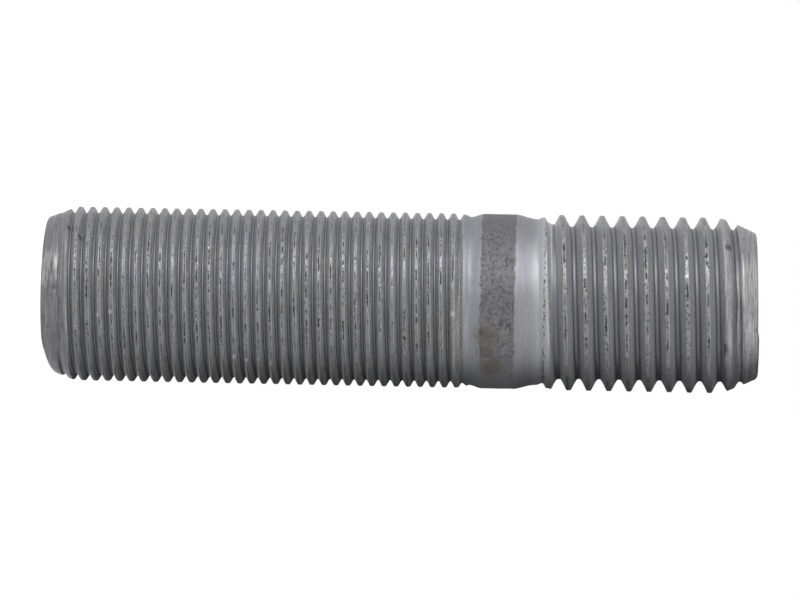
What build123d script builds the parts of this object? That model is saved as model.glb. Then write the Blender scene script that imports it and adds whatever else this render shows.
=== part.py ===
from build123d import *
from math import ceil, radians, tan
import os

# Double-ended stud bolt: one piece of steel, chamfered at both ends, with both threads rolled.
# Millimetres. It stands on its fine-thread end. The origin is the centre of that end face, and +Z is the axis.
# Up from the base come the fine thread, its run-out groove, the plain collar, the neck and the coarse thread.

# Fine-thread end, M22 x 1.5. Its ridges are too fine for this model, so it is plain at their crests.
fine_thread_length = 50.6
fine_crest_radius = 10.875
fine_tip_radius = 9.5
fine_chamfer_length = 3.7

# Groove where the fine thread runs out below the collar
groove_radius = 10.47
groove_slope_length = 2.0
groove_floor_length = 0.3
shoulder_length = 1.2

# Plain collar between the threads
collar_radius = 10.88
collar_length = 4.1

# Neck, as thick as the bar that the coarse thread was rolled on
neck_radius = 10.3
neck_slope_length = 2.4
neck_floor_length = 0.8

# Coarse-thread end, M22 x 2.5, right-handed. The root heights are measured along +X.
coarse_thread_length = 26.9
coarse_pitch = 2.5
coarse_crest_radius = 10.94
coarse_crest_flat = 0.27
coarse_root_flat = 0.4
flank_angle = 30.0
root_blend_angle = 36.0
coarse_tip_radius = 9.05
coarse_chamfer_length = 4.8
first_root_height = 2.52
crest_rise_length = 2.7
root_fade_length = 3.6

# Ends as cropped from the bar: worn edges, and a top face that isn't quite square to the axis
edge_wear = 0.35
crop_angle = 1.6

# Heights above the base of the places where one stretch gives way to the next
groove_height = fine_thread_length
collar_height = groove_height + groove_slope_length + groove_floor_length + shoulder_length
neck_height = collar_height + collar_length
coarse_height = neck_height + neck_slope_length + neck_floor_length
stud_height = coarse_height + coarse_thread_length

# Half of one pitch of the coarse thread, from the middle of a crest to the middle of a root.
# The flank is straight down to half its width and then opens out towards the rounded root.
flank_width = (coarse_pitch - coarse_crest_flat - coarse_root_flat) / 2
upper_flank_depth = flank_width / 2 / tan(radians(flank_angle))
lower_flank_depth = flank_width / 2 / tan(radians(root_blend_angle))
mid_flank_radius = coarse_crest_radius - upper_flank_depth
coarse_root_radius = mid_flank_radius - lower_flank_depth


def thread_profile(root_height):
    """Corners, as (radius, height), of one pitch of thread that has its root centred at this height."""
    falling_flank = [
        (coarse_crest_radius, (coarse_crest_flat - coarse_pitch) / 2),
        (mid_flank_radius, (coarse_crest_flat - coarse_pitch + flank_width) / 2),
        (coarse_root_radius, -coarse_root_flat / 2),
    ]
    rising_flank = [(radius, -height) for radius, height in reversed(falling_flank)]
    next_crest = (coarse_crest_radius, falling_flank[0][1] + coarse_pitch)
    corners = falling_flank + rising_flank + [next_crest]
    return [(radius, root_height + height) for radius, height in corners]


def one_turn(radius, height):
    """One right-handed turn of the thread's helix, which starts on the +X side at this height."""
    return Edge.make_helix(coarse_pitch, coarse_pitch, radius, center=(0, 0, height))


def rod_end(root_height):
    """Faces that close the threaded rod at the turn that has its root centred at this height."""
    corners = thread_profile(root_height)
    hub_radius = coarse_root_radius / 4
    hub = Edge.make_circle(hub_radius, Plane.XY.offset(root_height))
    step = Wire.make_polygon([(radius, 0, height) for radius, height in [(hub_radius, root_height)] + corners])
    return [
        Face.make_surface_from_curves(hub, one_turn(*corners[0])),
        Face(Wire([hub])),
        Face(step),
    ]


def threaded_rod(first_root, turns):
    """Solid rod with a full thread, wound up turn by turn from bands between neighbouring helices."""
    faces = rod_end(first_root) + rod_end(first_root + turns * coarse_pitch)
    for turn in range(turns):
        corners = thread_profile(first_root + turn * coarse_pitch)
        helices = [one_turn(radius, height) for radius, height in corners]
        faces += [Face.make_surface_from_curves(lower, upper) for lower, upper in zip(helices, helices[1:])]
    return Solid(Shell(faces))


# Coarse thread: a blank with the outline that the crests reach, cropped and worn at its end.
# A full threaded rod, longer than the blank both ways, then gives it its grooves.
spare_turns = 2
spare_blank = 1.0
first_root = coarse_height + first_root_height - spare_turns * coarse_pitch
rod_turns = ceil(coarse_thread_length / coarse_pitch) + 2 * spare_turns
chamfer_slope = (coarse_crest_radius - coarse_tip_radius) / coarse_chamfer_length
with BuildPart() as coarse_thread:
    with BuildSketch(Plane.XZ):
        with BuildLine():
            Polyline(
                (0, coarse_height),
                (neck_radius, coarse_height),
                (coarse_crest_radius, coarse_height + crest_rise_length),
                (coarse_crest_radius, stud_height - coarse_chamfer_length),
                (coarse_tip_radius - chamfer_slope * spare_blank, stud_height + spare_blank),
                (0, stud_height + spare_blank),
                close=True,
            )
        make_face()
    revolve(axis=Axis.Z)
    crop = Plane(origin=(0, 0, stud_height), z_dir=(-tan(radians(crop_angle)), 0, 1))
    split(bisect_by=crop, keep=Keep.BOTTOM)
    chamfer(coarse_thread.faces().sort_by(Axis.Z)[-1].edges(), edge_wear)
    add(threaded_rod(first_root, rod_turns), mode=Mode.INTERSECT)

# Whole stud: all that lies below the coarse thread, with a core that fills the fading end of its root
with BuildPart() as stud:
    with BuildSketch(Plane.XZ):
        with BuildLine():
            Polyline(
                (0, 0),
                (fine_tip_radius, 0),
                (fine_crest_radius, fine_chamfer_length),
                (fine_crest_radius, groove_height),
                (groove_radius, groove_height + groove_slope_length),
                (groove_radius, collar_height - shoulder_length),
                (collar_radius, collar_height),
                (collar_radius, neck_height),
                (neck_radius, neck_height + neck_slope_length),
                (neck_radius, coarse_height),
                (coarse_root_radius, coarse_height + root_fade_length),
                (0, coarse_height + root_fade_length),
                close=True,
            )
        make_face()
    revolve(axis=Axis.Z)
    chamfer(stud.faces().sort_by(Axis.Z)[0].edges(), edge_wear)
    add(coarse_thread.part)

os.makedirs("parts", exist_ok=True)
stud.part.label = "stud"
export_step(stud.part, "parts/stud.step")
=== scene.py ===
from math import atan2, cos, hypot, pi, radians, sin, tan
from types import SimpleNamespace

import bmesh
import bpy
from bpy.props import FloatProperty, PointerProperty, StringProperty
from mathutils import Matrix, Vector, noise


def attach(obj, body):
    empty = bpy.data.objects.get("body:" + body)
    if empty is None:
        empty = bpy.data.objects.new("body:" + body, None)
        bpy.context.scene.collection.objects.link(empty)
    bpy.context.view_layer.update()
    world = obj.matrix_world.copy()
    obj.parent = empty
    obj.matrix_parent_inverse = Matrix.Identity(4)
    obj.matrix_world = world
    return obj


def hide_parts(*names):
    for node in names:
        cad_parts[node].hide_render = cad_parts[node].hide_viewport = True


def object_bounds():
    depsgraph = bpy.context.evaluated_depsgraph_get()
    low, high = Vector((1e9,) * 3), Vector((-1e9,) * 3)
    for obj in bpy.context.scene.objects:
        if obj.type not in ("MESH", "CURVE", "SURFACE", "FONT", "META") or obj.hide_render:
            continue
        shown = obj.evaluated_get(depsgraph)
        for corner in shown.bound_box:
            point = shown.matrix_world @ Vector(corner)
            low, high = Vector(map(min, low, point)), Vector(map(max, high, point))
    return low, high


bl_info = {
    "name": "Stud Bolt",
    "version": (1, 0, 0),
    "blender": (4, 5, 0),
    "location": "View3D > Sidebar > Stud",
    "description": "Dresses a double-ended stud bolt with its rolled threads and coating, and lights it",
    "category": "Add Mesh",
}

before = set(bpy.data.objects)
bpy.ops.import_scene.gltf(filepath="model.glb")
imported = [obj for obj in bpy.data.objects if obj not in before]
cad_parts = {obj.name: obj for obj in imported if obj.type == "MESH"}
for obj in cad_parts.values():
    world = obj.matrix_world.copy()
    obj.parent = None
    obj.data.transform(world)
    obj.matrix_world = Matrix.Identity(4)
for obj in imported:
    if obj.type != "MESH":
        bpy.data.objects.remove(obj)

MM = 0.001
FULL_TURN = 2 * pi
CAD_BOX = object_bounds()
STUD_TOP = CAD_BOX[1][2]
NODE = "stud"
BODY = "root"

# Each thread's ridge from the middle of its crest to the middle of its root, as (millimetres along
# the axis, millimetres below the crest). Rolling leaves a shallow seam along the crest's middle.
FINE_RIDGE = (
    (0.0, 0.045), (0.1, 0.0), (0.2, 0.05), (0.3, 0.18), (0.61, 0.75), (0.69, 0.81), (0.75, 0.82),
)
COARSE_RIDGE = (
    (0.0, 0.05), (0.13, 0.0), (0.24, 0.05), (0.35, 0.2), (0.64, 0.8), (0.87, 1.2), (1.0, 1.38),
    (1.09, 1.475), (1.25, 1.49),
)

# How finely the threads are spun, the turns wound past each end before they are trimmed, how close two
# points lie that merge, and how soft the corners are where a thread meets its blank
STEPS = 144
SPARE_TURNS = 2
MERGE_DISTANCE = 0.004 * MM
CORNER_SOFTNESS = 0.06 * MM

# Rings of a worn edge as shares of its quarter turn, its height for a depth of 1, and the rings of an
# end face as shares of its radius
EDGE_SHARES = (0.35, 0.7, 1.0)
EDGE_HEIGHT = 0.8
FACE_SHARES = (0.97, 0.8, 0.5, 0.2)

# The coarse end's chamfer: 1 would make it a straight cone
CHAMFER_CURVE = 1.25

# The base is chipped from this far out towards +X, and over this reach, in millimetres
CHIP_START = 5.0
CHIP_REACH = 6.0

# How far below the coarse end's face the wound thread is trimmed, in millimetres
END_CUT_DEPTH = 0.9

# The burr on the coarse end: how far from the axis it starts, in millimetres, the direction of its
# middle from +X, the cosine of the angle from there to its ends, and over how much each fades in
LIP_START = 7.6
LIP_FADE = 0.8
LIP_DIRECTION = radians(-37)
LIP_END_COSINE = 0.85
LIP_COSINE_FADE = 0.05

# Rings on the shoulder below the collar, on the collar and on the slope down to the neck
SHOULDER_RINGS = 8
COLLAR_RINGS = 14
NECK_RINGS = 12

# Stretches of the stud in millimetres up the axis, as (start, fade in, end, fade out)
FINE_SEAMS = (3.2, 0.5, 51.6, 0.8)
FINE_ROOTS = (2.2, 0.6, 52.2, 0.8)
BAR_SKIN = (53.9, 0.4, 58.4, 0.4)
COARSE_SEAMS = (62.0, 0.8, 84.4, 0.8)
COARSE_ROOTS = (61.6, 1.5, 86.4, 0.8)
BETWEEN_CHAMFERS = (1.8, 0.8, 85.6, 1.0)

# Depths of wear in millimetres, how far it reaches from the middle of a crest, how far a pit reaches
# for a size of 1, and the radius inside which the end faces stay as cropped
CREST_WEAR = 0.05
CREST_REACH = 0.3
SEAM_DEPTH = 0.1
SEAM_REACH = 0.09
SKIN_DEPTH = 0.02
SKIN_PIT_DEPTH = 0.05
CHAMFER_WEAR = 0.03
PIT_DEPTH = 0.12
PIT_REACH = 1.5
FACE_RADIUS = 8.8

# Added to a point's distance to its crest or root where there is no thread, and the step that keeps
# two layers of wear apart in the noise
NO_THREAD_GAP = 3.0
LAYER_STEP = 17.3

# Marks of handling and cropping, and painted highlights on the chamfers, as (degrees from the front towards
# +X, millimetres up, millimetres across)
PALE_NICKS = (
    (13.7, 7.1, 0.25), (11.6, 8.6, 0.3), (43.3, 23.8, 0.3), (45.9, 25.4, 0.25), (45.7, 26.8, 0.2),
    (49.4, 28.3, 0.25), (8.7, 50.6, 0.35), (-18.8, 79.3, 0.2), (-14.0, 85.9, 0.25),
)
FROSTED_PATCHES = ((-24.0, 53.7, 0.7), (-17.0, 53.6, 0.8), (-9.0, 53.7, 0.7), (-15.0, 59.8, 0.9))
# Painted highlights on the chamfers, drawn as rubbed patches
PAINTED_CHAMFER_HIGHLIGHTS = (
    (-26.0, 87.4, 1.3), (-17.7, 87.3, 1.7), (-8.0, 87.4, 1.4), (-23.2, 0.8, 1.3), (-12.0, 0.7, 0.9),
)
RUST_STAINS = ((22.8, 54.8, 1.3), (48.6, 55.6, 1.3), (35.0, 54.9, 1.0))
DARK_PITS = (
    (-4.3, 1.71, 0.45), (-51.8, 3.28, 0.4), (-42.3, 4.77, 0.4), (26.0, 0.74, 0.3), (32.4, 0.7, 0.35),
    (-42.9, 84.6, 0.5), (-45.4, 86.5, 0.45), (31.5, 84.17, 0.4), (28.5, 84.2, 0.3), (34.5, 84.15, 0.3),
)

# A mark's ragged edge, for a size of 1: how far noise moves it, and where it starts and is full
MARK_RAGGEDNESS = 1.6
MARK_EDGE = 2.4
MARK_CORE = 1.2

# What a camera or a mirror sees of the white surroundings, the light that they shed, and the floor's glow
WHITE = (1, 1, 1, 1)
WORLD_SEEN = 1.0
WORLD_LIGHT = 0.08
FLOOR_PAINT = "D8D8D8"
FLOOR_GLOW = 0.95
FLOOR_RADIUS = 1.5
CARD_HEIGHT = 1.5


def length(name, description, millimetres):
    """A size in millimetres that a user can change."""
    return FloatProperty(
        name=name, description=description, default=millimetres * MM, unit="LENGTH", precision=5,
    )


def hex_colour(name, description, code):
    """A surface colour, as an sRGB hex code, that a user can change."""
    return StringProperty(name=name, description=description, default=code)


class FineThreadSizes(bpy.types.PropertyGroup):
    """Sizes of the fine-thread end, which the stud stands on."""

    pitch: length("Pitch", "Height of one turn of the fine thread", 1.5)
    crest_radius: length("Crest radius", "Radius at the top of the ridges", 10.875)
    crest_height: length("Crest height", "Height at which a crest passes the +X side", 4.71)
    tip_radius: length("Tip radius", "Radius of the chamfer where it meets the base", 9.5)
    chamfer_length: length("Chamfer", "Height of the chamfer at the base", 3.7)
    run_out_start: length("Run-out start", "Height at which the crests begin to fall to the groove", 50.6)
    root_fade_start: length("Root fade", "Height at which the roots begin to rise to the groove", 51.1)
    groove_height: length("Groove", "Height of the run-out groove's lowest line", 52.75)
    groove_radius: length("Groove radius", "Radius of the run-out groove", 10.46)


class CollarSizes(bpy.types.PropertyGroup):
    """Sizes of the plain collar and of the neck above it."""

    radius: length("Radius", "Radius of the collar", 10.88)
    start: length("Start", "Height at which the collar has its full radius", 54.4)
    end: length("End", "Height at which the collar starts to fall to the neck", 58.0)
    neck_height: length("Neck", "Height of the neck's narrowest line", 61.0)
    neck_radius: length("Neck radius", "Radius of the neck", 10.31)


class CoarseThreadSizes(bpy.types.PropertyGroup):
    """Sizes of the coarse-thread end."""

    pitch: length("Pitch", "Height of one turn of the coarse thread", 2.5)
    crest_radius: length("Crest radius", "Radius at the top of the ridges", 10.93)
    crest_height: length("Crest height", "Height at which a crest passes the +X side", 62.67)
    tip_radius: length("Tip radius", "Radius of the chamfer where it meets the end face", 9.05)
    chamfer_length: length("Chamfer", "Height of the chamfer at the end", 4.8)
    start: length("Start", "Height at which the crests begin to rise from the neck", 61.2)
    crest_rise: length("Crest rise", "Height over which the crests reach their full radius", 2.9)
    root_fade: length("Root fade", "Height over which the roots reach their full depth", 3.9)


class EndSizes(bpy.types.PropertyGroup):
    """Sizes of the two cropped ends."""

    height: length("Height", "Height of the coarse end on the axis", 88.24)
    wear: length("Wear", "Rounding of the worn edges", 0.4)
    crop_angle: FloatProperty(
        name="Crop angle", description="How far the coarse end is out of square",
        default=radians(1.1), subtype="ANGLE",
    )
    lip: length("Lip", "Height of the burr that the crop left on the coarse end", 0.13)
    chip: length("Chip", "Depth of the base's chip 11 mm out on the +X side, where it would end", 0.8)


class SurfaceLooks(bpy.types.PropertyGroup):
    """Colours of the coated steel, as sRGB hex codes."""

    coating: hex_colour("Coating", "Matte grey zinc coating on the flanks", "A3A4AA")
    coating_warm: hex_colour("Warm coating", "The same coating where it has yellowed a little", "A1A29F")
    # The crests are painted darker than the flanks: painted shade, since the side light falls more on the
    # flanks than on the crests
    crest: hex_colour("Crest", "Coating on the crests, where the metal folded in", "848487")
    # Painted shade in the corners of the roots, partly dirt and thick coating; the same dark grey also
    # darkens streaks, lines, grain and shear marks
    shade_and_dirt: hex_colour("Root side", "Dirt and thick coating in the corners of the roots", "54555A")
    # The roots' floor is painted shade, darker than the flanks, with a painted reflection that makes it
    # lighter than the roots' corners
    root_middle: hex_colour("Root middle", "Floor of the roots, smoothed by the crests of the dies", "6F7278")
    seam: hex_colour("Seam", "Dark seam that rolling leaves along the crests", "212022")
    bar_skin: hex_colour("Bar skin", "Rough skin of the bar on the collar", "807F81")
    bar_pits: hex_colour("Bar pits", "Pits of old scale in the bar's skin", "424144")
    burnished: hex_colour("Burnished", "Steel that the rolling dies have smoothed", "8A8B90")
    cropped: hex_colour("Cropped", "Chamfers and end faces", "88888C")
    fleck: hex_colour("Fleck", "Spots where the coating is rubbed to bright metal", "C4C4C7")
    rust: hex_colour("Rust", "Brown stain of light rust", "605348")
    # The chamfers' rubbed patches are painted highlights, streaked like rubbed metal
    rubbed: hex_colour("Rubbed", "Warm grey of the chamfers' rubbed patches", "ABA8A5")


class Studio(bpy.types.PropertyGroup):
    """The camera, at the photograph's viewing angle."""

    distance: length("Distance", "From the camera to the stud's axis", 647.0)
    camera_height: length("Camera height", "Height of the camera above the floor", 66.57)
    side_step: length("Side step", "How far the camera stands to the +X side", 0.06)
    focal_length: FloatProperty(
        name="Focal length", description="Lens in millimetres, for a sensor 36 mm wide", default=233.95,
    )
    dip: FloatProperty(
        name="Dip", description="How far the view tilts down", default=radians(2.0), subtype="ANGLE",
    )
    roll: FloatProperty(
        name="Roll", description="Turn about the view axis", default=0.0191, subtype="ANGLE",
    )


class StudBolt(bpy.types.PropertyGroup):
    """All that a user can change."""

    fine: PointerProperty(type=FineThreadSizes)
    collar: PointerProperty(type=CollarSizes)
    coarse: PointerProperty(type=CoarseThreadSizes)
    ends: PointerProperty(type=EndSizes)
    looks: PointerProperty(type=SurfaceLooks)
    studio: PointerProperty(type=Studio)


def smooth_step(share):
    """Runs from 0 to 1 with level ends, and stays there outside."""
    share = min(max(share, 0.0), 1.0)
    return share * share * (3 - 2 * share)


def blend(low, high, share):
    """The value that lies this share of the way from low to high."""
    return low + (high - low) * share


def soft_min(first, second, softness):
    """The smaller of two radii, with the corner between them rounded."""
    share = max(softness - abs(first - second), 0.0) / softness
    return min(first, second) - share * share * softness / 4


def soft_max(first, second, softness):
    """The larger of two radii, with the corner between them rounded."""
    return -soft_min(-first, -second, softness)


def on_stretch(height, stretch):
    """1 on a stretch of the stud, and less where it fades in or out."""
    start, fade_in, end, fade_out = stretch
    return smooth_step((height / MM - start) / fade_in) * smooth_step((end - height / MM) / fade_out)


def on_surface(degrees, height, radius):
    """The point this many degrees from the front towards +X, at a height and radius in millimetres."""
    turn = radians(degrees)
    return Vector((radius * sin(turn), -radius * cos(turn), height))


def one_turn(ridge, sizes, start):
    """Spins one pitch of the ridge once round the axis as it climbs by one pitch."""
    bm = bmesh.new()
    rising = [(sizes.crest_radius - depth * MM, start + gap * MM) for gap, depth in ridge]
    falling = [(radius, 2 * start + sizes.pitch - height) for radius, height in reversed(rising[:-1])]
    corners = [bm.verts.new((radius, 0, height)) for radius, height in rising + falling]
    edges = [bm.edges.new(pair) for pair in zip(corners, corners[1:])]
    bmesh.ops.spin(
        bm, geom=corners + edges, cent=(0, 0, 0), axis=(0, 0, 1), dvec=(0, 0, sizes.pitch / STEPS),
        angle=FULL_TURN, steps=STEPS,
    )
    turn = bpy.data.meshes.new("turn")
    bm.to_mesh(turn)
    bm.free()
    return turn


def wind_thread(ridge, sizes, low, high):
    """Stacks turns of the thread, from below one height to above the other, and merges their rims."""
    turns_below = int((sizes.crest_height - low) / sizes.pitch) + SPARE_TURNS
    turns = int((high - low) / sizes.pitch) + 2 * SPARE_TURNS
    turn = one_turn(ridge, sizes, sizes.crest_height - turns_below * sizes.pitch)
    bm = bmesh.new()
    for _ in range(turns):
        bm.from_mesh(turn)
        turn.transform(Matrix.Translation((0, 0, sizes.pitch)))
    bpy.data.meshes.remove(turn)
    bmesh.ops.remove_doubles(bm, verts=bm.verts, dist=MERGE_DISTANCE)
    return bm


def shape_thread(bm, outline, floor, slant=0.0):
    """Holds each point of a wound thread inside its blank's outline and outside its roots' floor."""
    for vert in bm.verts:
        x, y, z = vert.co
        radius = hypot(x, y)
        limited = soft_max(radius, floor(z), CORNER_SOFTNESS)
        limited = soft_min(limited, outline(z - x * slant), CORNER_SOFTNESS)
        vert.co.xy *= limited / radius


def trim(bm, height, keep_above):
    """Cuts a wound thread off square to the axis, and returns the rim."""
    whole = bm.verts[:] + bm.edges[:] + bm.faces[:]
    cut = bmesh.ops.bisect_plane(
        bm, geom=whole, dist=MERGE_DISTANCE / 10, plane_co=(0, 0, height), plane_no=(0, 0, 1),
        clear_inner=keep_above, clear_outer=not keep_above,
    )
    return [item for item in cut["geom_cut"] if isinstance(item, bmesh.types.BMEdge)]


def draw_rim(bm, rim, radius_at, height_at):
    """Extrudes a rim to a new ring, and places that ring by its direction round the axis."""
    grown = bmesh.ops.extrude_edge_only(bm, edges=rim)["geom"]
    for vert in grown:
        if isinstance(vert, bmesh.types.BMVert):
            direction = atan2(vert.co.y, vert.co.x)
            radius = radius_at(direction)
            vert.co = (radius * cos(direction), radius * sin(direction), height_at(direction))
    return [item for item in grown if isinstance(item, bmesh.types.BMEdge)]


def worn_edge(wear):
    """Rings of a worn edge, each as how far in it lies and how far from the end face."""
    turns = [share * pi / 2 for share in EDGE_SHARES]
    return [(wear * (1 - cos(turn)), wear * EDGE_HEIGHT * (1 - sin(turn))) for turn in turns]


def close_end(bm, rim, height_at):
    """Closes a cropped end with a face of a few rings round one point."""
    rim_radius = sum(vert.co.xy.length for edge in rim for vert in edge.verts) / (2 * len(rim))
    for share in FACE_SHARES:
        radius = rim_radius * share
        rim = draw_rim(bm, rim, lambda direction: radius, lambda direction: height_at(radius, direction))
    bmesh.ops.edgeloop_fill(bm, edges=rim)


def fine_outline(sizes, height):
    """Radius of the blank that the fine thread was rolled on, at this height."""
    if height < sizes.chamfer_length:
        return blend(sizes.tip_radius, sizes.crest_radius, height / sizes.chamfer_length)
    share = max(height - sizes.run_out_start, 0.0) / (sizes.groove_height - sizes.run_out_start)
    return blend(sizes.crest_radius, sizes.groove_radius, share * share)


def fine_thread(sizes, ends):
    """The fine-thread end, closed at its base and open at its groove."""
    base_cut = sizes.chamfer_length / 3
    bm = wind_thread(FINE_RIDGE, sizes, base_cut, sizes.groove_height)
    root_radius = sizes.crest_radius - FINE_RIDGE[-1][1] * MM

    def floor(height):
        fade = (height - sizes.root_fade_start) / (sizes.groove_height - sizes.root_fade_start)
        return blend(root_radius, sizes.groove_radius, smooth_step(fade))

    shape_thread(bm, lambda height: fine_outline(sizes, height), floor)
    rim = trim(bm, base_cut, keep_above=True)
    trim(bm, sizes.groove_height, keep_above=False)

    def base_height(radius, direction):
        return ends.chip * smooth_step((radius * cos(direction) - CHIP_START * MM) / (CHIP_REACH * MM))

    edge_start = ends.wear * EDGE_HEIGHT
    for height in (base_cut * 0.85, base_cut * 0.7, ends.wear * 1.4, edge_start):
        radius = fine_outline(sizes, height)
        chipped = 1 - height / base_cut
        rim = draw_rim(
            bm, rim, lambda direction: radius,
            lambda direction: height + chipped * base_height(radius, direction),
        )
    for inset, level in worn_edge(ends.wear):
        corner = fine_outline(sizes, edge_start) - inset
        rim = draw_rim(
            bm, rim, lambda direction: corner, lambda direction: level + base_height(corner, direction),
        )
    close_end(bm, rim, base_height)
    return bm


def coarse_outline(sizes, ends, height):
    """Radius of the blank that the coarse thread was rolled on, with a chamfer that steepens to its tip."""
    chamfer_start = ends.height - sizes.chamfer_length
    if height > chamfer_start:
        share = (height - chamfer_start) / sizes.chamfer_length
        return blend(sizes.crest_radius, sizes.tip_radius, share ** CHAMFER_CURVE)
    return sizes.crest_radius


def coarse_thread(sizes, collar, ends):
    """The coarse-thread end, open at its neck and closed at its cropped tip."""
    end_cut = ends.height - END_CUT_DEPTH * MM
    bm = wind_thread(COARSE_RIDGE, sizes, sizes.start, end_cut)
    root_radius = sizes.crest_radius - COARSE_RIDGE[-1][1] * MM
    slant = tan(ends.crop_angle)

    def floor(height):
        left = 1 - min(max(height - sizes.start, 0.0) / sizes.root_fade, 1.0)
        return blend(root_radius, collar.neck_radius, left * left)

    def outline(height):
        left = 1 - min(max(height - sizes.start, 0.0) / sizes.crest_rise, 1.0)
        rise = blend(sizes.crest_radius, collar.neck_radius, left * left)
        return min(rise, coarse_outline(sizes, ends, height))

    shape_thread(bm, outline, floor, slant)
    trim(bm, sizes.start, keep_above=True)
    rim = trim(bm, end_cut, keep_above=False)

    def face_height(radius, direction):
        lip_share = smooth_step((cos(direction - LIP_DIRECTION) - LIP_END_COSINE) / LIP_COSINE_FADE)
        lip_share *= smooth_step((radius - LIP_START * MM) / (LIP_FADE * MM))
        return ends.height + radius * cos(direction) * slant + ends.lip * lip_share

    def tip_radius_at(direction, below):
        height = face_height(sizes.tip_radius, direction) - below
        return coarse_outline(sizes, ends, height - sizes.tip_radius * cos(direction) * slant)

    edge_start = ends.wear * EDGE_HEIGHT
    for below in (ends.wear * 1.3, edge_start):
        rim = draw_rim(
            bm, rim, lambda direction: tip_radius_at(direction, below),
            lambda direction: face_height(sizes.tip_radius, direction) - below,
        )
    for inset, drop in worn_edge(ends.wear):
        rim = draw_rim(
            bm, rim, lambda direction: tip_radius_at(direction, edge_start) - inset,
            lambda direction: face_height(sizes.tip_radius - inset, direction) - drop,
        )
    close_end(bm, rim, face_height)
    return bm


def open_rim(bm, height):
    """The edges of the open rim that lies at this height."""
    return [
        edge for edge in bm.edges
        if edge.is_boundary and all(abs(vert.co.z - height) < MERGE_DISTANCE for vert in edge.verts)
    ]


def slope(foot, top, rings):
    """Radius and height of each ring of a smooth slope, from the first above its foot to its top."""
    shares = [(ring + 1) / rings for ring in range(rings)]
    return [(blend(foot[0], top[0], smooth_step(share)), blend(foot[1], top[1], share)) for share in shares]


def collar_profile(fine, collar):
    """Radius and height of each ring from the groove up to the neck."""
    groove = (fine.groove_radius, fine.groove_height)
    collar_foot = (collar.radius, collar.start)
    collar_top = (collar.radius, collar.end)
    neck = (collar.neck_radius, collar.neck_height)
    rings = slope(groove, collar_foot, SHOULDER_RINGS)
    rings += slope(collar_foot, collar_top, COLLAR_RINGS)
    return rings + slope(collar_top, neck, NECK_RINGS)


def join_sections(fine_part, coarse_part, sizes):
    """Puts both thread ends into one mesh, and draws the collar and the neck up between them."""
    bm = bmesh.new()
    for part in (fine_part, coarse_part):
        mesh = bpy.data.meshes.new("section")
        part.to_mesh(mesh)
        part.free()
        bm.from_mesh(mesh)
        bpy.data.meshes.remove(mesh)
    rim = open_rim(bm, sizes.fine.groove_height)
    for radius, height in collar_profile(sizes.fine, sizes.collar):
        rim = draw_rim(bm, rim, lambda direction: radius, lambda direction: height)
    upper = open_rim(bm, sizes.coarse.start)
    bmesh.ops.bridge_loops(bm, edges=rim + upper)
    return bm


def gap_to_crest(point, sizes):
    """Distance along the axis from a point on a thread to the middle of the nearest crest."""
    turns = (point.z - sizes.crest_height) / sizes.pitch - atan2(point.y, point.x) / FULL_TURN
    return abs(turns - round(turns)) * sizes.pitch


def rough(point, across, along, layer):
    """Smooth noise from -1 to 1, with features this many millimetres across the stud and along it."""
    across *= MM
    along *= MM
    return noise.noise(Vector((point.x / across, point.y / across, point.z / along + LAYER_STEP * layer)))


def wear_down(point, gap, seamed):
    """How far a point lies below the freshly rolled surface."""
    crest = seamed * smooth_step(1 - gap / (CREST_REACH * MM))
    depth = crest * CREST_WEAR * max(rough(point, 1.3, 0.8, 1), 0.0)
    seam = seamed * smooth_step(1 - gap / (SEAM_REACH * MM))
    depth += seam * SEAM_DEPTH * smooth_step((rough(point, 1.6, 0.9, 2) + 0.1) / 0.4)
    skin = on_stretch(point.z, BAR_SKIN)
    depth += skin * SKIN_DEPTH * (1 + rough(point, 0.9, 0.9, 3))
    depth += skin * SKIN_PIT_DEPTH * smooth_step((rough(point, 1.4, 1.1, 4) - 0.2) / 0.3)
    chamfers = 1 - on_stretch(point.z, BETWEEN_CHAMFERS)
    depth += chamfers * CHAMFER_WEAR * (1 + rough(point, 2.2, 0.35, 5))
    for degrees, height, size in DARK_PITS:
        centre = on_surface(degrees, height, point.xy.length / MM)
        reach = (point / MM - centre).length / size
        depth += PIT_DEPTH * smooth_step(PIT_REACH - reach)
    return depth * MM


def weather(bm, sizes):
    """Wears the rolled surface, and stores each point's distance to its crest and its root."""
    crest_gaps = bm.verts.layers.float.new("crest_gap")
    root_gaps = bm.verts.layers.float.new("root_gap")
    for vert in bm.verts:
        if vert.co.z < sizes.collar.neck_height:
            thread, seams, roots = sizes.fine, FINE_SEAMS, FINE_ROOTS
        else:
            thread, seams, roots = sizes.coarse, COARSE_SEAMS, COARSE_ROOTS
        seamed = on_stretch(vert.co.z, seams)
        rooted = on_stretch(vert.co.z, roots)
        gap = gap_to_crest(vert.co, thread)
        vert[crest_gaps] = gap / MM + NO_THREAD_GAP * (1 - seamed)
        vert[root_gaps] = (thread.pitch / 2 - gap) / MM + NO_THREAD_GAP * (1 - rooted)
        radius = vert.co.xy.length
        if radius > FACE_RADIUS * MM:
            vert.co.xy *= 1 - wear_down(vert.co, gap, seamed) / radius


def hex_to_linear(code):
    """Linear colour of an sRGB hex code."""
    channels = [int(code[place:place + 2], 16) / 255 for place in (0, 2, 4)]
    return [c / 12.92 if c <= 0.04045 else ((c + 0.055) / 1.055) ** 2.4 for c in channels] + [1.0]


def add_node(tree, kind, inputs=None, **settings):
    """Adds a node with its settings, and links or sets its inputs."""
    node = tree.nodes.new(kind)
    for name, value in settings.items():
        setattr(node, name, value)
    for name, value in (inputs or {}).items():
        if isinstance(value, bpy.types.NodeSocket):
            tree.links.new(value, node.inputs[name])
        else:
            node.inputs[name].default_value = value
    return node


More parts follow.
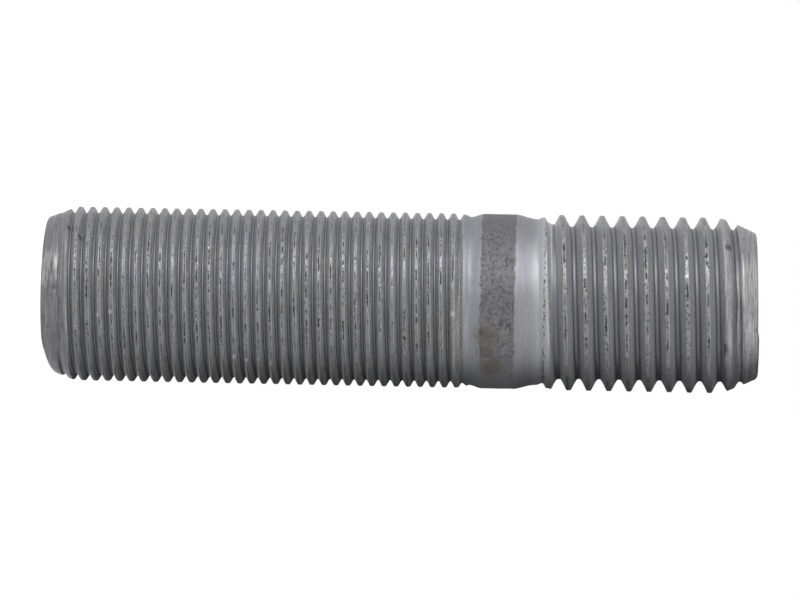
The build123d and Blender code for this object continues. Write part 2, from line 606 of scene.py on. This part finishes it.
def product(tree, *factors):
    """All the factors multiplied. One of (value, start, stop) runs smoothly from 0 at start to 1 at stop."""
    result = None
    for factor in factors:
        if isinstance(factor, tuple):
            value, start, stop = factor
            inputs = {"Value": value, "From Min": start, "From Max": stop}
            rise = add_node(tree, "ShaderNodeMapRange", inputs, interpolation_type="SMOOTHSTEP")
            factor = rise.outputs["Result"]
        if result is not None:
            factor = add_node(tree, "ShaderNodeMath", {0: result, 1: factor}, operation="MULTIPLY").outputs[0]
        result = factor
    return result


def total(tree, *terms):
    """All the terms added up."""
    result = terms[0]
    for term in terms[1:]:
        result = add_node(tree, "ShaderNodeMath", {0: result, 1: term}, operation="ADD").outputs[0]
    return result


def coat(tree, under, over, *factors):
    """Lays one colour, or hex code, over another by the product of the factors."""
    under, over = [hex_to_linear(layer) if isinstance(layer, str) else layer for layer in (under, over)]
    inputs = {"Factor": product(tree, *factors), 6: under, 7: over}
    return add_node(tree, "ShaderNodeMix", inputs, data_type="RGBA").outputs[2]


def field(tree, point, size, seed, detail=2.0):
    """Noise whose features have this size, in millimetres along X, Y and Z."""
    stretch = [1 / extent for extent in size]
    inputs = {"Vector": point, "Location": (seed, 3 * seed, 0), "Scale": stretch}
    moved = add_node(tree, "ShaderNodeMapping", inputs).outputs["Vector"]
    inputs = {"Vector": moved, "Scale": 1.0, "Detail": detail, "Roughness": 0.6}
    return add_node(tree, "ShaderNodeTexNoise", inputs).outputs["Fac"]


def between(tree, value, low, high, fade):
    """Mask of the values between two limits, which fades out over this much at each."""
    return product(tree, (value, low - fade / 2, low + fade / 2), (value, high + fade / 2, high - fade / 2))


def spots(tree, point, marks, radius, wander):
    """Mask of round marks, whose edges a noise field makes ragged."""
    mask = 0.0
    for degrees, height, size in marks:
        inputs = {0: point, 1: on_surface(degrees, height, radius)}
        away = add_node(tree, "ShaderNodeVectorMath", inputs, operation="DISTANCE").outputs["Value"]
        ragged = total(tree, product(tree, wander, size * MARK_RAGGEDNESS), away)
        mark = product(tree, (ragged, size * MARK_EDGE, size * MARK_CORE))
        mask = add_node(tree, "ShaderNodeMath", {0: mask, 1: mark}, operation="MAXIMUM").outputs[0]
    return mask


def read_surface(tree):
    """Each point's place in millimetres, its thread's gaps, and the noise fields of the finish."""
    place = add_node(tree, "ShaderNodeTexCoord").outputs["Object"]
    inputs = {"Vector": place, "Scale": (1 / MM, 1 / MM, 1 / MM)}
    point = add_node(tree, "ShaderNodeMapping", inputs).outputs["Vector"]
    axes = add_node(tree, "ShaderNodeSeparateXYZ", {0: point}).outputs
    surface = SimpleNamespace(point=point, side=axes["X"], height=axes["Z"])
    surface.crest_gap = add_node(tree, "ShaderNodeAttribute", attribute_name="crest_gap").outputs["Fac"]
    surface.root_gap = add_node(tree, "ShaderNodeAttribute", attribute_name="root_gap").outputs["Fac"]

    # Drifts of tone 8 mm long in the coating, and patches 5 mm long that were handled more or less
    surface.clouds = field(tree, point, (8.0, 8.0, 8.0), 1.0)
    surface.patches = field(tree, point, (5.0, 5.0, 3.0), 9.0)

    # Streaks 0.15 mm wide and lines 0.09 mm wide that rolling and chamfering left round the bar
    surface.streaks = field(tree, point, (2.2, 2.2, 0.15), 2.0, 3.0)
    surface.lines = field(tree, point, (5.0, 5.0, 0.09), 8.0, 3.0)

    # Clumps of the coating's crystals 0.45 mm across, and its grain of 0.16 mm. The real grain is finer
    # still, and is drawn as coarse as the render can show.
    surface.mottles = field(tree, point, (0.45, 0.45, 0.4), 3.0, 3.0)
    surface.grain = field(tree, point, (0.16, 0.16, 0.16), 4.0)

    # Blotches of old scale 1.1 mm across, breaks in the seams 1.5 mm long, and flakes of coating 0.35 mm
    # across that rub off the crests
    surface.blotches = field(tree, point, (1.1, 1.1, 0.8), 7.0, 4.0)
    surface.breaks = field(tree, point, (1.5, 1.5, 1.0), 5.0)
    surface.flakes = field(tree, point, (0.35, 0.35, 0.25), 6.0)

    # Shear marks of the cropping blade, 0.14 mm wide and 3.5 mm long
    surface.shear = field(tree, point, (0.14, 3.5, 2.0), 10.0, 3.0)
    return surface


def find_zones(tree, surface):
    """Masks of the stud's stretches, and of the marks that change both its colour and its relief."""
    zones = SimpleNamespace()
    zones.wavy_height = total(tree, surface.height, product(tree, surface.blotches, 0.9), -0.45)
    zones.smooth = between(tree, zones.wavy_height, 51.9, 61.7, 0.3)
    zones.skin = between(tree, zones.wavy_height, 54.15, 58.35, 0.22)
    zones.coarse_end = product(tree, (surface.height, 60.0, 62.0))
    zones.lower_end = product(tree, (surface.height, 3.5, 3.0))
    upper_end = product(tree, (surface.height, 83.9, 84.3))
    inputs = {0: zones.lower_end, 1: upper_end}
    zones.ends = add_node(tree, "ShaderNodeMath", inputs, operation="MAXIMUM").outputs[0]

    # The end faces, and the part of them that broke off beyond the blade's shear marks
    flat = add_node(tree, "ShaderNodeVectorMath", {0: surface.point, 1: (1, 1, 0)}, operation="MULTIPLY")
    from_axis = add_node(tree, "ShaderNodeVectorMath", {0: flat.outputs["Vector"]}, operation="LENGTH")
    zones.faces = product(tree, (from_axis.outputs["Value"], 9.0, 8.6), zones.ends)
    zones.broken = product(tree, (total(tree, product(tree, surface.patches, 9.0), surface.side), 5.0, 6.2))

    # The front of the stud was handled most, so its seams and pits have opened up the furthest
    handled = product(
        tree, (surface.side, 9.0, 4.5), (surface.side, -10.0, -6.5), (surface.patches, 0.36, 0.52),
    )
    zones.opened = total(tree, product(tree, handled, 0.6), 0.4)

    # Distances to the root and to the crest, as shares of a strip 0.2 mm wide on the fine thread and
    # 0.36 mm wide on the coarse one. The crest's edges waver with the streaks.
    strip = total(tree, product(tree, zones.coarse_end, 0.16), 0.2)
    wavering = total(tree, surface.crest_gap, product(tree, surface.streaks, 0.35), -0.175)
    root_share = add_node(tree, "ShaderNodeMath", {0: surface.root_gap, 1: strip}, operation="DIVIDE")
    crest_share = add_node(tree, "ShaderNodeMath", {0: wavering, 1: strip}, operation="DIVIDE")
    zones.root_share = root_share.outputs[0]
    zones.crest_share = crest_share.outputs[0]
    zones.crest = product(tree, (zones.crest_share, 1.4, 0.6))
    zones.crest_pits = product(tree, zones.crest, (surface.mottles, 0.5, 0.64), zones.opened, 0.7)
    zones.seam = product(tree, (zones.crest_share, 0.5, 0.15), (surface.breaks, 0.45, 0.58), zones.opened)
    zones.pits = spots(tree, surface.point, DARK_PITS, 10.4, surface.mottles)
    return zones


def coating_colour(tree, surface, looks):
    """The zinc coating itself, bluish to greenish grey, a little streaked and speckled."""
    colour = coat(tree, looks.coating, looks.coating_warm, (surface.clouds, 0.4, 0.62))
    colour = coat(tree, colour, looks.shade_and_dirt, (surface.streaks, 0.45, 0.7), 0.45)
    colour = coat(tree, colour, looks.shade_and_dirt, (surface.lines, 0.48, 0.68), 0.35)
    colour = coat(tree, colour, looks.shade_and_dirt, (surface.grain, 0.42, 0.66), 0.55)
    return coat(tree, colour, looks.fleck, (surface.mottles, 0.52, 0.68), 0.4)


def collar_colour(tree, colour, surface, zones, looks):
    """Burnished bands on both sides of the collar, and the dark, pitted skin of the bar between them."""
    burnished = coat(tree, looks.burnished, looks.root_middle, (surface.lines, 0.42, 0.66), 0.45)
    burnished = coat(tree, burnished, looks.shade_and_dirt, (surface.grain, 0.52, 0.72), 0.35)
    colour = coat(tree, colour, burnished, zones.smooth)
    blotched = total(tree, product(tree, surface.blotches, 0.35), product(tree, surface.mottles, 0.65))
    skin = coat(tree, looks.bar_skin, looks.bar_pits, (surface.side, 5.0, -1.0), 0.4)
    skin = coat(tree, skin, looks.bar_pits, (blotched, 0.4, 0.64), zones.opened, 0.8)
    skin = coat(tree, skin, looks.burnished, (surface.grain, 0.5, 0.75), 0.45)
    return coat(tree, colour, skin, zones.skin)


def end_colour(tree, colour, surface, zones, looks):
    """Worn chamfers, and end faces with shear marks where the blade went in and a grainy break beyond."""
    chamfer = coat(tree, looks.cropped, looks.bar_pits, (surface.streaks, 0.46, 0.68), 0.5)
    chamfer = coat(tree, chamfer, looks.bar_pits, (surface.mottles, 0.5, 0.7), 0.4)
    chamfer = coat(tree, chamfer, looks.fleck, (surface.lines, 0.5, 0.66), 0.5)
    chamfer = coat(tree, chamfer, looks.bar_pits, zones.lower_end, 0.3)
    colour = coat(tree, colour, chamfer, zones.ends)
    sheared = coat(tree, looks.cropped, looks.shade_and_dirt, (surface.shear, 0.44, 0.68), 0.6)
    broken = coat(tree, looks.crest, looks.bar_pits, (surface.mottles, 0.4, 0.64), 0.6)
    face = coat(tree, sheared, broken, zones.broken)
    face = coat(tree, face, looks.fleck, (surface.flakes, 0.6, 0.72), 0.5)
    return coat(tree, colour, face, zones.faces)


def thread_colour(tree, colour, surface, zones, looks):
    """Painted shade and some dirt in the corners of the roots, a root floor in painted shade with a painted
    reflection, crests painted darker as shade, and the broken seam along them.
    """
    # The coarse flanks carry less dirt than the fine ones
    colour = coat(tree, colour, looks.fleck, zones.coarse_end, (surface.height, 84.0, 83.6), 0.35)
    # Painted shade in the corners of the roots, partly dirt and thick coating there
    colour = coat(tree, colour, looks.shade_and_dirt, (zones.root_share, 1.15, 0.8), 0.8)
    # The roots' floor in painted shade, lighter than its corners as a painted reflection
    colour = coat(tree, colour, looks.root_middle, (zones.root_share, 0.6, 0.3))
    # Painted shade on the crests, darker than the flanks that the side light falls on
    colour = coat(tree, colour, looks.crest, zones.crest, 0.8)
    colour = coat(tree, colour, looks.seam, zones.crest_pits)
    colour = coat(tree, colour, looks.seam, zones.seam)
    return coat(tree, colour, looks.fleck, (zones.crest_share, 1.2, 0.6), (surface.flakes, 0.64, 0.72))


def marked_colour(tree, colour, surface, zones, looks):
    """Rust on the collar, painted highlights on the chamfers drawn as rubbed patches, frosted patches, pits,
    the lap below the coarse thread, and nicks.
    """
    rusted = spots(tree, surface.point, RUST_STAINS, 10.9, surface.mottles)
    colour = coat(tree, colour, looks.rust, rusted, 0.55)
    # Painted highlights on the chamfers, broken by streaks like rubbed metal
    rubbed = spots(tree, surface.point, PAINTED_CHAMFER_HIGHLIGHTS, 9.6, surface.streaks)
    colour = coat(tree, colour, looks.rubbed, rubbed, (surface.streaks, 0.66, 0.4), 0.75)
    colour = coat(tree, colour, looks.seam, zones.pits, 0.75)
    frosted = spots(tree, surface.point, FROSTED_PATCHES, 10.8, surface.blotches)
    colour = coat(tree, colour, looks.fleck, frosted, (surface.grain, 0.5, 0.62), 0.25)
    lap = between(tree, zones.wavy_height, 61.95, 62.12, 0.1)
    colour = coat(tree, colour, looks.seam, lap, (surface.mottles, 0.42, 0.55), 0.8)
    nicks = spots(tree, surface.point, PALE_NICKS, 10.85, surface.flakes)
    return coat(tree, colour, looks.fleck, nicks, 0.8)


def surface_relief(tree, surface, zones):
    """Height of the finish: fine lines and grain, rough skin and breaks, and sunken seams and pits."""
    return total(
        tree,
        product(tree, surface.lines, 0.4),
        product(tree, surface.grain, 0.3),
        product(tree, surface.mottles, zones.skin, 1.2),
        product(tree, zones.faces, surface.shear, 1.5),
        product(tree, zones.faces, zones.broken, surface.mottles, 2.0),
        product(tree, zones.seam, -0.9),
        product(tree, zones.crest_pits, -1.0),
        product(tree, zones.pits, -1.5),
    )


def coated_steel(looks):
    """Zinc-coated rolled steel: a matte grey, as the coating's crystals scatter what they mirror."""
    material = bpy.data.materials.new("zinc_coated_rolled_steel")
    material.use_nodes = True
    tree = material.node_tree
    tree.nodes.clear()
    surface = read_surface(tree)
    zones = find_zones(tree, surface)
    colour = coating_colour(tree, surface, looks)
    for lay_colour in (collar_colour, end_colour, thread_colour, marked_colour):
        colour = lay_colour(tree, colour, surface, zones, looks)

    # The coated threads are half as metallic as bare steel, and the burnished bands nearly bare
    metallic = total(tree, product(tree, zones.smooth, 0.3), 0.5, product(tree, zones.skin, -0.2))
    roughness = total(
        tree, product(tree, surface.mottles, 0.16), product(tree, zones.smooth, 0.08), 0.4,
        product(tree, zones.skin, 0.1),
    )
    relief = surface_relief(tree, surface, zones)
    bump = add_node(tree, "ShaderNodeBump", {"Height": relief, "Strength": 0.8, "Distance": 0.03 * MM})
    shader = add_node(tree, "ShaderNodeBsdfPrincipled", {
        "Base Color": colour, "Metallic": metallic, "Roughness": roughness, "Normal": bump.outputs["Normal"],
    })
    add_node(tree, "ShaderNodeOutputMaterial", {"Surface": shader.outputs["BSDF"]})
    return material


def build_stud(context):
    """Models the stud, smooths it and gives it its coating."""
    sizes = context.scene.stud_bolt
    fine_part = fine_thread(sizes.fine, sizes.ends)
    coarse_part = coarse_thread(sizes.coarse, sizes.collar, sizes.ends)
    bm = join_sections(fine_part, coarse_part, sizes)
    weather(bm, sizes)
    bmesh.ops.recalc_face_normals(bm, faces=bm.faces)
    for face in bm.faces:
        face.smooth = True
    mesh = bpy.data.meshes.new("threaded_stud")
    bm.to_mesh(mesh)
    bm.free()
    stud = bpy.data.objects.new("threaded_stud", mesh)
    context.scene.collection.objects.link(stud)
    mesh.materials.append(coated_steel(sizes.looks))
    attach(stud, BODY)
    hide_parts(NODE)


def seen_directly(tree):
    """1 for rays that look at a surface straight, in a mirror or through glass, and 0 for the rest."""
    path = add_node(tree, "ShaderNodeLightPath")
    seen = path.outputs["Is Camera Ray"]
    for name in ("Is Glossy Ray", "Is Transmission Ray"):
        either = add_node(tree, "ShaderNodeMath", {0: seen, 1: path.outputs[name]}, operation="MAXIMUM")
        seen = either.outputs[0]
    return seen


def seen_and_shed(tree, seen, shed):
    """One strength where a surface is seen or mirrored, and another for the light that it sheds."""
    inputs = {"Factor": seen_directly(tree), 2: shed, 3: seen}
    return add_node(tree, "ShaderNodeMix", inputs, data_type="FLOAT").outputs[0]


def build_world(scene):
    """White surroundings where they are seen, which light the object more plainly than white would."""
    world = bpy.data.worlds.new("studio")
    scene.world = world
    world.use_nodes = True
    tree = world.node_tree
    tree.nodes.clear()
    strength = seen_and_shed(tree, WORLD_SEEN, WORLD_LIGHT)
    background = add_node(tree, "ShaderNodeBackground", {"Color": WHITE, "Strength": strength})
    add_node(tree, "ShaderNodeOutputWorld", {"Surface": background.outputs[0]})


def floor_material():
    """Matte white paper, which keeps the stud's shadow and shows as white elsewhere."""
    material = bpy.data.materials.new("matte_white_paper")
    material.use_nodes = True
    tree = material.node_tree
    tree.nodes.clear()
    paint = add_node(tree, "ShaderNodeBsdfDiffuse", {"Color": hex_to_linear(FLOOR_PAINT)})
    glow = add_node(tree, "ShaderNodeEmission", {"Color": WHITE, "Strength": FLOOR_GLOW})
    lit = add_node(tree, "ShaderNodeAddShader", {0: paint.outputs[0], 1: glow.outputs[0]})
    inputs = {0: seen_directly(tree), 1: paint.outputs[0], 2: lit.outputs[0]}
    shown = add_node(tree, "ShaderNodeMixShader", inputs)
    add_node(tree, "ShaderNodeOutputMaterial", {"Surface": shown.outputs[0]})
    return material


def card_material(name, seen, shed):
    """Felt of a card, by how bright it looks in a mirror and how much light it sheds."""
    material = bpy.data.materials.new(name)
    material.use_nodes = True
    tree = material.node_tree
    tree.nodes.clear()
    glow = add_node(tree, "ShaderNodeEmission", {"Color": WHITE, "Strength": seen_and_shed(tree, seen, shed)})
    add_node(tree, "ShaderNodeOutputMaterial", {"Surface": glow.outputs[0]})
    return material


def set_up(scene, name, bm, material):
    """Makes an object of the stage out of a finished shape."""
    mesh = bpy.data.meshes.new(name)
    bm.to_mesh(mesh)
    bm.free()
    thing = bpy.data.objects.new(name, mesh)
    scene.collection.objects.link(thing)
    mesh.materials.append(material)
    return thing


def build_floor(scene):
    """A pale floor that shows as white where no shadow lies."""
    bm = bmesh.new()
    bmesh.ops.create_circle(bm, cap_ends=True, radius=FLOOR_RADIUS, segments=64)
    set_up(scene, "floor", bm, floor_material())


def build_card(scene, name, material, near, far):
    """An upright card, out of view, that the stud mirrors in place of the white surroundings."""
    bm = bmesh.new()
    foot = bm.edges.new([bm.verts.new((*corner, -CARD_HEIGHT / 2)) for corner in (far, near)])
    grown = bmesh.ops.extrude_edge_only(bm, edges=[foot])["geom"]
    top = [item for item in grown if isinstance(item, bmesh.types.BMVert)]
    bmesh.ops.translate(bm, vec=(0, 0, CARD_HEIGHT), verts=top)
    card = set_up(scene, name, bm, material)
    card.visible_camera = False
    card.visible_shadow = False


def add_lamp(scene, name, place, size, power, target):
    """A square soft box that faces a point on the stud."""
    data = bpy.data.lights.new(name, "AREA")
    data.shape = "SQUARE"
    data.size = size
    data.energy = power
    lamp = bpy.data.objects.new(name, data)
    lamp.location = place
    lamp.rotation_euler = (Vector(target) - Vector(place)).to_track_quat("-Z", "Y").to_euler()
    scene.collection.objects.link(lamp)


def build_camera(scene, studio):
    """The camera looks along +Y with +Z to the right, as the photograph has the stud lie."""
    data = bpy.data.cameras.new("camera")
    data.sensor_width = 36.0
    data.lens = studio.focal_length
    data.clip_start = 0.01
    camera = bpy.data.objects.new("camera", data)
    forward = Vector((0, cos(studio.dip), -sin(studio.dip)))
    right = Vector((0, sin(studio.dip), cos(studio.dip)))
    up = right.cross(forward)
    rolled_right = cos(studio.roll) * right + sin(studio.roll) * up
    rolled_up = cos(studio.roll) * up - sin(studio.roll) * right
    camera.matrix_world = Matrix((rolled_right, rolled_up, -forward)).transposed().to_4x4()
    camera.location = (studio.side_step, -studio.distance, studio.camera_height)
    scene.collection.objects.link(camera)
    scene.camera = camera


def build_stage(context):
    """Lays the floor, hangs the lamps and sets the camera up."""
    scene = context.scene
    scene.view_settings.view_transform = "Standard"
    build_world(scene)
    build_floor(scene)

    # The black card darkens the edge on the +X side, which is the picture's lower one. The grey card
    # stands on that side too, bright where it is mirrored, and sheds less light than the surroundings.
    build_card(scene, "black_card", card_material("black_felt", 0.004, 0.004), (0.06, 0.0), (-0.12, 0.9))
    build_card(scene, "grey_card", card_material("grey_felt", 1.2, 0.02), (0.25, -0.8), (0.25, -0.01))

    # The key lamp hangs on the picture's upper side, the front one fills in from behind the camera, and
    # the end one reaches the coarse end's chamfer
    middle = (0, 0, STUD_TOP / 2)
    add_lamp(scene, "key_soft_box", (-0.44, -0.42, 0.1), 0.36, 3.6, middle)
    add_lamp(scene, "front_soft_box", (0.15, -0.95, 0.3), 0.9, 0.75, middle)
    add_lamp(scene, "end_soft_box", (0.1, -0.1, 0.23), 0.1, 0.1, (0, 0, STUD_TOP))
    build_camera(scene, scene.stud_bolt.studio)


class STUD_OT_build(bpy.types.Operator):
    """Model the threaded stud and give it its coating"""

    bl_idname = "stud.build"
    bl_label = "Threaded Stud"

    def execute(self, context):
        build_stud(context)
        return {"FINISHED"}


class STUD_OT_stage(bpy.types.Operator):
    """Lay the floor, hang the lamps and set the camera up"""

    bl_idname = "stud.stage"
    bl_label = "Studio"

    def execute(self, context):
        build_stage(context)
        return {"FINISHED"}


class STUD_PT_panel(bpy.types.Panel):
    """Lists what the add-on can build."""

    bl_label = "Stud Bolt"
    bl_idname = "STUD_PT_panel"
    bl_space_type = "VIEW_3D"
    bl_region_type = "UI"
    bl_category = "Stud"

    def draw(self, context):
        self.layout.operator(STUD_OT_build.bl_idname)
        self.layout.operator(STUD_OT_stage.bl_idname)


CLASSES = (
    FineThreadSizes, CollarSizes, CoarseThreadSizes, EndSizes, SurfaceLooks, Studio, StudBolt,
    STUD_OT_build, STUD_OT_stage, STUD_PT_panel,
)


def register():
    for cls in CLASSES:
        bpy.utils.register_class(cls)
    bpy.types.Scene.stud_bolt = PointerProperty(type=StudBolt)


def unregister():
    del bpy.types.Scene.stud_bolt
    for cls in reversed(CLASSES):
        bpy.utils.unregister_class(cls)


def main():
    """Builds the stud and the stage."""
    register()
    bpy.ops.stud.build()
    bpy.ops.stud.stage()


if __name__ == "__main__":
    main()
